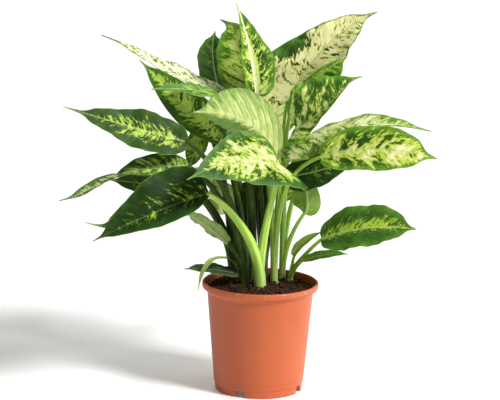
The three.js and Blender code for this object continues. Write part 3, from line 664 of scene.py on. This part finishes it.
def stalk_tube(leaf, foot, cane):
    """Rod along a cubic curve: straight up out of the cane, then over into the blade's midrib.
    It thins towards the blade, has a groove on its inner side, and sheath edges beside it lower down."""
    base, along = midrib(leaf, np.zeros(1))
    end = base[0] + along[0] * BLADE_OVERLAP
    foot = np.array([*foot, SOIL_TOP + STALK_START])
    outward = unit((end - foot) * [1, 1, 0])
    thick, thin = leaf["stalk"]
    start = foot + outward * max(0, cane - thick - 1)
    length = np.linalg.norm(end - start)
    rise = start + np.array([0, 0, 1]) * length * leaf["rise"]
    neck = end - along[0] * length * leaf["neck"]
    t = np.linspace(0, 1, STALK_STEPS)[:, None]
    centre = (1 - t) ** 3 * start + 3 * t * (1 - t) ** 2 * rise + 3 * t * t * (1 - t) * neck + t ** 3 * end
    heading = unit(np.gradient(centre, axis=0))
    level = np.cross([0, 0, 1], outward)
    side = unit(level - heading * (heading @ level)[:, None])
    inner = -np.cross(side, heading)
    angle = np.linspace(-np.pi, np.pi, STALK_COLUMNS, endpoint=False)[None, :]
    radius = thin + (thick - thin) * (1 - t) ** 1.4
    radius = radius * np.sqrt(np.clip((1.0 - t) * length / 4 + 0.08, 0, 1))
    sheath = np.clip((0.5 - t) / 0.2, 0, 1)
    groove = -0.26 * np.exp(-(angle / 0.42) ** 2)
    wing = 0.2 * np.exp(-((np.abs(angle) - 0.75) / 0.24) ** 2) * sheath
    section = radius * (1 + groove + wing)
    points = centre[:, None, :] + inner[:, None, :] * (section * np.cos(angle))[..., None]
    points = points - side[:, None, :] * (section * np.sin(angle))[..., None]
    return points.reshape(-1, 3), rod_places(t, angle, leaf["seed"] * 5)


def cane_tube(foot, radius):
    """Stub of cane from below the soil to a blunt dome, with faint rings where old leaves sat."""
    share = np.linspace(0, 1, CANE_STEPS)[:, None]
    z = SOIL_TOP - CANE_DEPTH + (CANE_DEPTH + CANE_TOP) * share
    angle = np.linspace(-np.pi, np.pi, CANE_COLUMNS, endpoint=False)[None, :]
    rings = 1 - SCAR_DEPTH * np.cos(2 * np.pi * z / SCAR_PITCH) ** 6
    dome = np.sqrt(np.clip((1.001 - share) * 4, 0, 1))
    r = radius * rings * dome
    points = np.stack([foot[0] + r * np.cos(angle), foot[1] + r * np.sin(angle), z + 0 * angle], axis=-1)
    return points.reshape(-1, 3), rod_places(CANE_SHARE + 0 * share, angle, 0)


def make_shoot(key, cane, stalk, finish, leaves):
    """One shoot: its cane and stalks in one piece, and each of its blades. A leaf gives three points of its
    midrib, where its top faces, its width and its look. What it leaves out is as usual. A stalk is given
    by its radii below and above."""
    points, places, faces, count = [], [], [], 0
    foot = CANE_FEET[key]
    parts = [(cane_tube(foot, cane), CANE_STEPS, CANE_COLUMNS)]
    for number, given in enumerate(leaves, 1):
        leaf = {**USUAL_LEAF, "stalk": stalk, **given, "look": {**USUAL_LOOK, **given["look"]}}
        leaf["seed"] = ord(key) * 0.37 + number * 1.9
        usual_pitch = min(BROAD_PITCH, NARROW_PITCH + leaf["width"] * PITCH_GROWTH)
        leaf["pitch"] = leaf["look"].get("pitch", usual_pitch)
        make_blade(f"leaf_{key}{number}", leaf)
        parts.append((stalk_tube(leaf, foot, cane), STALK_STEPS, STALK_COLUMNS))
    for (tube, along), rows, columns in parts:
        points.append(tube)
        places.append(along)
        faces.extend(grid_faces(rows, columns, around=True, start=count).tolist())
        faces.append(list(range(count, count + columns))[::-1])
        faces.append(list(range(count + (rows - 1) * columns, count + rows * columns)))
        count += len(tube)
    piece = add_piece(f"stalks_{key}", np.vstack(points), faces, finish, f"shoot_{key}", 80)
    add_layer(piece, "rod", np.vstack(places))


# Shoots a to d share a lighter copy of the stalk rind: painted light for the stalks in the light at the
# front and right.
painted_lit_stalk = stalk_finish("painted_lit_stalk", 0.45, "#bddc5a", "#7dae36", 0.35, 0.45)
make_shoot("a", 5.5, STOUT_STALK, painted_lit_stalk, [
    dict(base=(15, -26, 244), mid=(-25, -66, 253), tip=(-74, -102, 239), face=(0.45, -0.62, 0.63),
         width=70, back=0.86, wide=0.32, point=0.95, lobe=0.1, lobe_front=2.6, fold=4, stalk=(5, 2.3),
         slot="leaf_cream",
         look=dict(cover=0.43, cream=1, border=5, centre=0.6, fade=0.9, streak=0.25, fleck=0.75, strips=0,
                   grain=1.8, coarse=2.4, round_off=1.6, halo=0.2, rib=0.8, rib_light=0.3,
                   # The greyer green by its edge is partly painted sheen.
                   lively="#527c36", lime="#a0ba36", lime_to=0.45, creamy="#d6d3a2")),
    # Its near-black greens are partly painted shade, for the shade at the left of the plant.
    dict(base=(-54, -50, 215), mid=(-110, -76, 198), tip=(-167, -88, 172), face=(-0.2, -0.85, 0.5),
         width=60, front=0.76, back=1.25, flare_front=-0.5, wide=0.25, point=0.9, neck=0.06, fold=12,
         stalk=(6.2, 2.6), rise=0.47,
         look=dict(cover=-0.2, cream=0.3, border=4, centre=0.5, rib_light=0.12, gloss=0.07,
                   green="#1b3210", lively="#2f4f1a")),
])


# Shoot b, in the middle: the tallest, with an upright leaf at the top that has a broad whitish midrib,
# one that hangs over the front and is a smooth pale lime, greyed over its front half as painted shade,
# and three more that reach to the right, the lowest dark partly as painted shade.
make_shoot("b", 5, SLIM_STALK, painted_lit_stalk, [
    dict(base=(-8, 18, 302), mid=(-16, 10, 352), tip=(-30, 8, 400), face=(0.6, -0.8, 0.05),
         width=46, wide=0.33, point=1.2, fold=30,
         look=dict(cover=0.38, cream=0.5, border=4, centre=0.1, streak=0.3, fleck=0.7, coarse=1.3,
                   blaze=(0.24, 0.1, 0.4, 0.16), rib=2.7, rib_light=0.75, rib_colour="#f4f5d8",
                   lively="#62972c", lime="#b9d149", creamy="#eceab0")),
    dict(base=(17, 0, 240), mid=(-16, -18, 282), tip=(-71, -38, 295), face=(0.1, -0.8, 0.3),
         width=64, front=0.5, wide=0.52, lobe=-0.9, fold=-15, twist=20, slot="leaf_cream",
         # Its greyed greens, lime and cream, and the patch that keeps the front half green, are painted
         # shade: the leaf faces away from the key light and its front half hangs down in shade.
         look=dict(cover=0.86, cream=1, border=0.4, centre=0.4, streak=0.8, fleck=0.1, strips=0, soft=4,
                   patch=(0.6, -1.0, 0.6, 0.75), yellow=0.7, halo=0, pitch=11, ribs=0.8, furrow=0.75,
                   green="#5f7d3c", lively="#6d8c45", lime="#8fac55", lime_to=0.7, creamy="#c9d184")),
    dict(base=(12, 10, 247), mid=(84, -4, 279), tip=(170, -14, 276), face=(0, -0.35, 1),
         width=42, back=1.2, wide=0.27, fold=-50, fold_tip=38,
         look=dict(cover=0.54, cream=0.8, border=2, green="#4f732b", lively="#7ca446", lime="#b2c95e",
                   creamy="#f6f2c0")),
    dict(base=(58, -26, 250), mid=(109, -48, 263), tip=(173, -66, 258), face=(0.05, -0.85, 0.55),
         width=48, wide=0.5, point=0.1, neck=0.3, rise=0.6,
         look=dict(cover=0.44, cream=1, border=4, rim=0.6, centre=0.3, fade=-0.15, streak=0.35, fleck=0.5,
                   strips=0, grain=2, coarse=2.2, round_off=1.3, halo=0.1, green="#28501b",
                   lively="#79ad36", lime="#bcd33e", lime_to=0.5, creamy="#fdf8c0")),
    dict(base=(22, 19, 218), mid=(55, 9, 228), tip=(95, 2, 241), face=(0, -0.8, 0.6),
         width=40, lobe=0, slot="leaf_green",
         # Its dark greens are partly painted shade, the shadow of the leaf above it.
         look=dict(cover=0.02, cream=0.2, green="#263f1e", lively="#3a5828")),
])


# Shoot c, at the back right: a broad cream leaf at the top with two more behind and below it,
# a leaf that shows its dull underside, and one that grows away from the viewer.
make_shoot("c", 4.5, SLIM_STALK, painted_lit_stalk, [
    dict(base=(24.5, 48, 293), mid=(57, 38, 347), tip=(109, 28, 392), hook=(5, 0, -1),
         face=(0.1, -0.85, 0.5),
         width=64, front=0.68, back=0.88, flare_front=2, wide=0.26, point=0.1, lobe_front=1.4, fold=14,
         wave=0.15, frill=0.09, slot="leaf_cream",
         # Its cream is lifted to nearly white, partly painted light, as this leaf faces away from the key
         # light.
         look=dict(cover=0.94, cream=1, border=1, centre=0, fade=0.1, streak=0.1, fleck=1.1, strips=0.1,
                   coarse=1.9, patch=(0.42, -0.9, 0.12, 0.5), yellow=0.35, halo=0.1, lime="#d3d668",
                   creamy="#fffab8")),
    dict(base=(30, 28, 294), mid=(55, 19, 324), tip=(84, 16, 346), face=(-0.2, -0.9, 0.2),
         width=36, front=0.35, back=1.3, fold=10,
         look=dict(cover=0.3, cream=0.3, green="#376a1c", lively="#67a22c")),
    dict(base=(34, 20, 271), mid=(66, 6, 298), tip=(91, 4, 330), hook=(8, 0, -2), face=(-0.4, -0.75, 0.45),
         width=70, back=0.05, flare_back=1.9, lobe=0.45, lobe_front=0.3, fold=38,
         look=dict(cover=0.42, cream=0.9, centre=0.15, streak=0.25, strips=0.12, grain=1.3, coarse=1.4,
                   rib=1.2, green="#2f5a18", lively="#619c2c", lime="#bed64c", creamy="#f6f2bc")),
    dict(base=(44, 22, 181), mid=(46, 24, 199), tip=(37, 32, 235), face=(0, 1, 0.1),
         width=27, wide=0.34, lobe=0, slot="leaf_green",
         look=dict(cover=0.1, cream=0.2)),
    dict(base=(45, 60, 225), mid=(75, 95, 240), tip=(100, 125, 235), face=(-0.1, 0.5, 0.85),
         width=44, fold=12,
         look=dict(cover=0.5, cream=0.6, streak=0.6)),
])


# Shoot d, low at the right: a young shoot with one broad leaf that is nearly plain green,
# and two narrow new leaves that haven't opened out yet.
make_shoot("d", 3.6, SLIM_STALK, painted_lit_stalk, [
    dict(base=(62, 0, 159), mid=(107, -16, 175), tip=(157, -30, 178), face=(0.1, -0.7, 0.7),
         width=51, wide=0.42, point=0.1, fold=11, stalk=(2.8, 1.8), rise=0.2,
         look=dict(cover=-0.1, cream=0.15, border=6, centre=0.9, streak=0.8, patch=(0.5, 0.75, 0.7, 0.68),
                   green="#355a1e", lively="#5a8a2c")),
    dict(base=(42, 8, 134), mid=(66, -2, 143), tip=(89, -10, 146), face=(0, -0.5, 0.85),
         width=12, stalk=(2.4, 1.4), rise=0.2, slot="leaf_green",
         look=dict(cover=0.1, cream=0.1, border=1, green="#5f8a3a", lively="#7ea64c")),
    dict(base=(34, 16, 137), mid=(45, 13, 152), tip=(63, 9, 165), face=(-0.5, -0.7, 0.3),
         width=11, fold=40, stalk=(2.4, 1.4), rise=0.2, slot="leaf_green",
         look=dict(cover=0.3, cream=0.2, border=1, green="#8db043", lively="#abc658")),
])


# Shoot e, at the front left: long leaves that reach far to the left, one of them twisted right over,
# a narrow dry one that hangs over the rim, and a small one that lies just above the soil.
# Shoots e to h share a darker copy of the stalk rind: painted shade for the stalks in shade at the left and
# back.
painted_shaded_stalk = stalk_finish("painted_shaded_stalk", 0.12, "#455e1a", "#20320c", 0.06, 0.12)
make_shoot("e", 5.5, STOUT_STALK, painted_shaded_stalk, [
    # The dark greens of the first three leaves are partly painted shade, for the shade at the left of the
    # plant.
    dict(base=(-44, 8, 255), mid=(-82, 2, 296), tip=(-127, -4, 342), face=(-0.1, -1, 0.15),
         width=42, front=0.9, flare_front=-0.6, point=0.7,
         look=dict(cover=0.12, cream=0.1, border=4, centre=0.7, fleck=0.6, grain=1.4, coarse=1.5,
                   rib_light=0.3, green="#24400f", lively="#4a7a1e", lime="#aacf48")),
    dict(base=(-76, -30, 263), mid=(-135, -50, 282), tip=(-199, -60, 302), face=(0, -0.85, 0.5),
         width=43, back=0.93, point=1.1, wave=0.14, frill=0.06, tail_from=0.76,
         look=dict(cover=-0.19, cream=0.3, border=4, centre=0.8, fleck=0.7, strips=0.1, grain=1.3,
                   coarse=1.5, rib_light=0.35, green="#213a12", lively="#3d5f20")),
    dict(base=(-75, -22, 236), mid=(-138, -46, 233), tip=(-203, -62, 201), hook=(0, 0, 6),
         face=(0, -0.6, 0.75),
         width=30, point=0.9, twist=-200,
         look=dict(cover=0.34, cream=0.4, border=2, streak=0.5, rib_light=0.3, green="#26401a",
                   lively="#3f6424", lime="#a3bd52", under=0.95, under_green="#4f6f2c")),
    dict(base=(-34, -6, 155), mid=(-58, -14, 177), tip=(-84, -22, 193), face=(0.1, 0.5, 0.85),
         width=24, front=0.9, back=1.4,
         look=dict(cover=0.5, cream=0.6, under=0.3, under_green="#78964a")),
    dict(base=(-35, -8, 140), mid=(-54, -27, 137), tip=(-63, -36, 111), face=(-0.6, -0.5, 0.6),
         width=7, fold=6, stalk=(1.8, 1.1), slot="leaf_green",
         look=dict(cover=0.1, cream=0.1, border=1, green="#86a94a", lively="#a9c468")),
    dict(base=(-24, -3, 121), mid=(-50, -11, 127), tip=(-78, -22, 130), face=(0, -0.25, 1),
         width=24, fold=6, stalk=(2.6, 1.6), slot="leaf_green",
         look=dict(cover=-0.5, cream=0.1, rib_light=0.15, green="#2b3c26", lively="#3c5434")),
])


# Shoot f, at the left: shorter, mostly plain dark leaves under the long ones of shoot e,
# and one that grows away from the viewer. Their dark greens are partly painted shade.
make_shoot("f", 5.5, STOUT_STALK, painted_shaded_stalk, [
    dict(base=(-63, 32, 267), mid=(-69, 20, 247), tip=(-76, 14, 227), face=(-0.3, -0.95, 0.1),
         width=22, neck=0.2,
         look=dict(cover=0.4, cream=0.3, centre=0.3, green="#3d5c2a")),
    dict(base=(-79, 4, 211), mid=(-115, 0, 213), tip=(-157, -6, 218), face=(0, -0.85, 0.5),
         width=26, slot="leaf_green",
         look=dict(cover=0.1, cream=0.1, green="#2f4a25", lively="#47672f")),
    dict(base=(-73, -12, 212), mid=(-118, -30, 197), tip=(-166, -42, 169), hook=(-12, 0, 12),
         face=(-0.1, -0.8, 0.6),
         width=30,
         look=dict(cover=0.22, cream=0.2, green="#34502a", lively="#4d7034")),
    dict(base=(-33, 35, 180), mid=(-41, 35, 195), tip=(-51, 33, 215), face=(0, -1, 0.2),
         width=32, slot="leaf_cream",
         look=dict(cover=0.9, cream=0.7, border=1)),
    dict(base=(-38, 54, 190), mid=(-62, 88, 206), tip=(-86, 118, 200), face=(0.1, 0.5, 0.85),
         width=40, fold=12,
         look=dict(cover=0.5, cream=0.5, streak=0.6)),
])


# Shoot g, at the back: two upright leaves behind the top one, a dark one low down in the middle,
# and two that lean away from the viewer over the rim. The low one's dark green is partly painted shade.
make_shoot("g", 5.5, STOUT_STALK, painted_shaded_stalk, [
    dict(base=(-17, 40, 294), mid=(-24, 36, 341), tip=(-40, 36, 381), hook=(-7, 0, -2),
         face=(-0.35, -0.95, 0.1),
         width=52, wide=0.42, fold=14,
         look=dict(cover=0.48, cream=0.5, border=5, dry_from=0.95, green="#3f6e21", lively="#76ad38",
                   lime="#bdd84a")),
    dict(base=(-41, 64, 286), mid=(-53, 60, 329), tip=(-52, 72, 362), face=(-0.5, -0.9, 0.1),
         width=33, wide=0.5, point=0.4, fold=14,
         look=dict(cover=-0.1, cream=0.2, green="#304b28", lively="#5f8a35")),
    # Its dark green is partly painted shade, for the shade low among the stalks.
    dict(base=(7, 58, 180), mid=(-12, 54, 190), tip=(-36, 51, 191), face=(0, -1, 0.2),
         width=38, lobe=0.1, slot="leaf_green",
         look=dict(cover=0.15, cream=0.2, green="#2f4a25", lively="#47672f")),
    dict(base=(8, 66, 250), mid=(14, 106, 282), tip=(14, 152, 286), face=(0, -0.5, 1),
         width=52, fold=12,
         look=dict(cover=0.66, cream=0.8, streak=0.5)),
    dict(base=(20, 62, 185), mid=(32, 96, 208), tip=(42, 132, 206), face=(0, -0.4, 1),
         width=40, fold=12,
         look=dict(cover=0.5, cream=0.4, streak=0.5)),
])


# Shoot h, at the back left: a narrow cream leaf that reaches up to the left with a dried tip,
# one that droops over towards the viewer, and one behind.
make_shoot("h", 5.5, STOUT_STALK, painted_shaded_stalk, [
    dict(base=(-37, 28, 304), mid=(-101, 24, 330), tip=(-158, 18, 363), hook=(-9, 0, 0),
         face=(0, -0.22, 1),
         width=34, point=0.8, fold=4, slot="leaf_cream",
         look=dict(cover=0.82, cream=1, border=1, centre=0.1, streak=0.1, fleck=0.9, halo=0.1,
                   dry_from=0.93, lime="#c0cf62", creamy="#fbf9d8")),
    dict(base=(-39, 12, 302), mid=(-75, -16, 314), tip=(-113, -34, 317), face=(0, -0.4, 1),
         width=30, fold=4, twist=-20,
         look=dict(cover=0.25, cream=0.1, green="#456f2c", lively="#77a050", lime="#9dbf55")),
    dict(base=(-36, 66, 238), mid=(-50, 104, 264), tip=(-66, 138, 266), face=(0, -0.4, 1),
         width=44, wide=0.5, fold=12,
         look=dict(cover=0.55, cream=0.6, streak=0.6)),
])


# Studio: a plain white floor that reaches past the view, a soft key light at the upper right, a weak one
# from behind, a panel low at the right, and a pale surround that lifts the shadows among the leaves.
FLOOR_SIZE = 14.0
FLOOR_LEVEL = -0.0001
AMBIENT = 0.205
AMBIENT_TILT = 0.2
floor_mesh = bpy.data.meshes.new("floor")
corners = [(x * FLOOR_SIZE, y * FLOOR_SIZE, FLOOR_LEVEL) for x, y in ((-1, -1), (1, -1), (1, 1), (-1, 1))]
floor_mesh.from_pydata(corners, [], [(0, 1, 2, 3)])
floor_paint = Finish("floor_paint")
floor_place = floor_paint.add("ShaderNodeTexCoord").outputs["Object"]
floor_cloud = floor_paint.step(floor_paint.noise(floor_place, 2), 0.3, 0.7)
floor_white = floor_paint.blend(floor_cloud, tint("#f4f4f2"), tint("#f7f7f5"))
floor_paint.surface(floor_white, 0.9, 0.1)
floor_paint.shader.inputs["Emission Color"].default_value = (1, 1, 1, 1)
floor_paint.shader.inputs["Emission Strength"].default_value = 0.1
floor_mesh.materials.append(floor_paint.material)
floor = add_object("floor", floor_mesh)


def add_light(name, kind, origin, aim, strength):
    """A lamp that shines from one place towards another."""
    light = bpy.data.lights.new(name, kind)
    light.energy = strength
    lamp = add_object(name, light)
    lamp.location = origin
    lamp.rotation_euler = (Vector(aim) - Vector(origin)).to_track_quat("-Z", "Y").to_euler()
    return lamp


key_lamp = add_light("key", "SUN", (0.85, -0.62, 0.95), (0, 0, 0), 3.35)
key_lamp.data.angle = math.radians(14)
back_lamp = add_light("back", "SUN", (-0.3, 1.0, 1.2), (0, 0, 0), 0.9)
back_lamp.data.angle = math.radians(30)
back_lamp.visible_glossy = False
panel_lamp = add_light("panel", "AREA", (1.3, 0.1, 0.3), (0, 0, 0.15), 11)
panel_lamp.data.size = 1.2
world = bpy.data.worlds.new("studio")
world.use_nodes = True
world_nodes = world.node_tree.nodes
ambient = world_nodes["Background"]
ambient.inputs["Color"].default_value = (1, 1, 1, 1)
heading = world_nodes.new("ShaderNodeTexCoord")
apart = world_nodes.new("ShaderNodeSeparateXYZ")
glow = world_nodes.new("ShaderNodeMath")
glow.operation = "MULTIPLY_ADD"
glow.inputs[1].default_value = AMBIENT_TILT
glow.inputs[2].default_value = AMBIENT
backdrop = world_nodes.new("ShaderNodeBackground")
backdrop.inputs["Color"].default_value = (1, 1, 1, 1)
shown = world_nodes.new("ShaderNodeMixShader")
seen = world_nodes.new("ShaderNodeLightPath")
wires = [
    (heading.outputs["Generated"], apart.inputs[0]),
    (apart.outputs[0], glow.inputs[0]),
    (glow.outputs[0], ambient.inputs["Strength"]),
    (seen.outputs["Is Camera Ray"], shown.inputs[0]),
    (ambient.outputs[0], shown.inputs[1]),
    (backdrop.outputs[0], shown.inputs[2]),
    (shown.outputs[0], world_nodes["World Output"].inputs["Surface"]),
]
for output, target in wires:
    world.node_tree.links.new(output, target)
bpy.context.scene.world = world
bpy.context.scene.view_settings.view_transform = "Standard"


# Camera: a long lens a little above the plant, rolled slightly as in the photograph.
PHOTO_WIDTH = 500
FOCAL_PIXELS = 2442.5
SENSOR_WIDTH = 36
EYE = Vector((0, -2446.3, 715.5))
AIM = Vector((-12.3, 0, 198.5))
ROLL_DEG = 1.1
camera = add_object("camera", bpy.data.cameras.new("camera"))
camera.data.sensor_width = SENSOR_WIDTH
camera.data.lens = FOCAL_PIXELS * SENSOR_WIDTH / PHOTO_WIDTH
camera.data.clip_end = 50
look_turn = (AIM - EYE).to_track_quat("-Z", "Y").to_matrix().to_4x4()
place = Matrix.Translation(EYE * MM + Vector(AXIS))
camera.matrix_world = place @ look_turn @ Matrix.Rotation(math.radians(ROLL_DEG), 4, "Z")
bpy.context.scene.camera = camera
